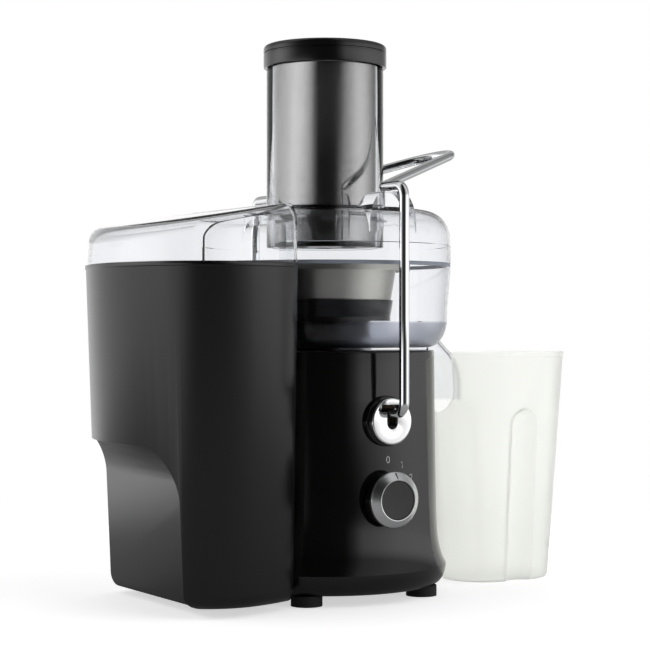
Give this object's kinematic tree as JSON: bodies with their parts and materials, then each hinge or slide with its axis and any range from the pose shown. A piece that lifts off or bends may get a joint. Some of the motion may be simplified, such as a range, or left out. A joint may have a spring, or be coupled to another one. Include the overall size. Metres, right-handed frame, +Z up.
{
  "type": "centrifugal juicer",
  "caption": "Centrifugal juicer with feed chute and pusher, clear lid and bowl, wire locking arm, rotary knob, pulp container and frosted jug.",
  "frame": {"origin": "on the table, below the drive axis", "axes": "+Z up along the drive axis, -Y towards the control knob, +X towards the spout and the jug"},
  "size_m": [0.384, 0.2138, 0.3973],
  "materials": {
    "gloss_black": "polished",
    "matte_black": "fine satin",
    "rubber_black": "matte",
    "clear": "polished clear plastic",
    "frosted": "frosted translucent",
    "seal_grey": "satin",
    "chrome": "mirror",
    "satin_silver": "satin",
    "steel": "brushed",
    "bearing_steel": "ground",
    "cast_aluminium": "as cast",
    "laminations": "varnished",
    "copper": "enamelled wire",
    "commutator_copper": "machined",
    "carbon": "dull",
    "brown_plastic": "dull",
    "white_plastic": "satin",
    "red_plastic": "satin",
    "bush_brass": "machined",
    "board_green": "lacquered"
  },
  "bodies": {
    "base": {"housing": "gloss_black", "base_pan": "matte_black", "feet": "rubber_black", "pan_screws": "bearing_steel", "deck_seal": "rubber_black", "cord_gland": "rubber_black", "front_pivot_disc": "chrome", "rear_pivot_disc": "chrome", "arm_bushes": "bush_brass", "motor_dampers": "rubber_black", "mount_screws": "bearing_steel", "upper_bracket": "cast_aluminium", "lower_bracket": "cast_aluminium", "upper_bearing": "bearing_steel", "lower_bearing": "bearing_steel", "stator_core": "laminations", "front_field_coil": "copper", "rear_field_coil": "copper", "motor_bolts": "bearing_steel", "brush_holders": "brown_plastic", "brushes": "carbon", "rotary_switch": "matte_black", "control_board": "board_green", "interlock_switch": "matte_black", "juice_bowl": "clear", "bowl_seal": "seal_grey", "lid": "clear"},
    "rotor": {"motor_shaft": "bearing_steel", "armature_core": "laminations", "armature_coils": "copper", "commutator": "commutator_copper", "cooling_fan": "matte_black", "drive_coupling": "matte_black", "basket_hub": "matte_black", "filter_basket": "steel", "basket_rim": "steel", "cutter_disc": "steel"},
    "pusher": {"pusher_sleeve": "steel", "pusher_cap": "matte_black", "pusher_foot": "matte_black"},
    "arm": {"arm_rod": "chrome", "arm_cam": "white_plastic"},
    "plunger": {"interlock_plunger": "red_plastic"},
    "knob": {"knob_core": "gloss_black", "knob_ring": "satin_silver", "knob_face": "matte_black", "knob_spindle": "white_plastic"},
    "bin": {"pulp_container": "matte_black"},
    "jug": {"juice_jug": "frosted"}
  },
  "joints": [
    {"name": "rotor_spin", "type": "hinge", "parent": "base", "child": "rotor", "pos_m": [0, 0, 0], "axis": [0, 0, 1], "continuous": true},
    {"name": "pusher_slide", "type": "slide", "parent": "base", "child": "pusher", "axis": [0, 0, 1], "range_m": [0, 0.16]},
    {"name": "arm_swing", "type": "hinge", "parent": "base", "child": "arm", "pos_m": [0, 0, 0.1334], "axis": [0, 1, 0], "range_deg": [0, 45]},
    {"name": "interlock_release", "type": "slide", "parent": "base", "child": "plunger", "axis": [1, 0, 0], "range_m": [0, 0.0016]},
    {"name": "knob_turn", "type": "hinge", "parent": "base", "child": "knob", "pos_m": [0, -0.088, 0.0737], "axis": [0, 1, 0], "range_deg": [0, 56]},
    {"name": "container_slide", "type": "slide", "parent": "base", "child": "bin", "axis": [-1, 0, 0], "range_m": [0, 0.15]},
    {"name": "jug_slide", "type": "slide", "parent": "base", "child": "jug", "axis": [1, 0, 0], "range_m": [0, 0.12]}
  ],
  "couplings": [
    {"joint": "interlock_release", "follows": "arm_swing", "m_per_rad": 0.0019}
  ]
}
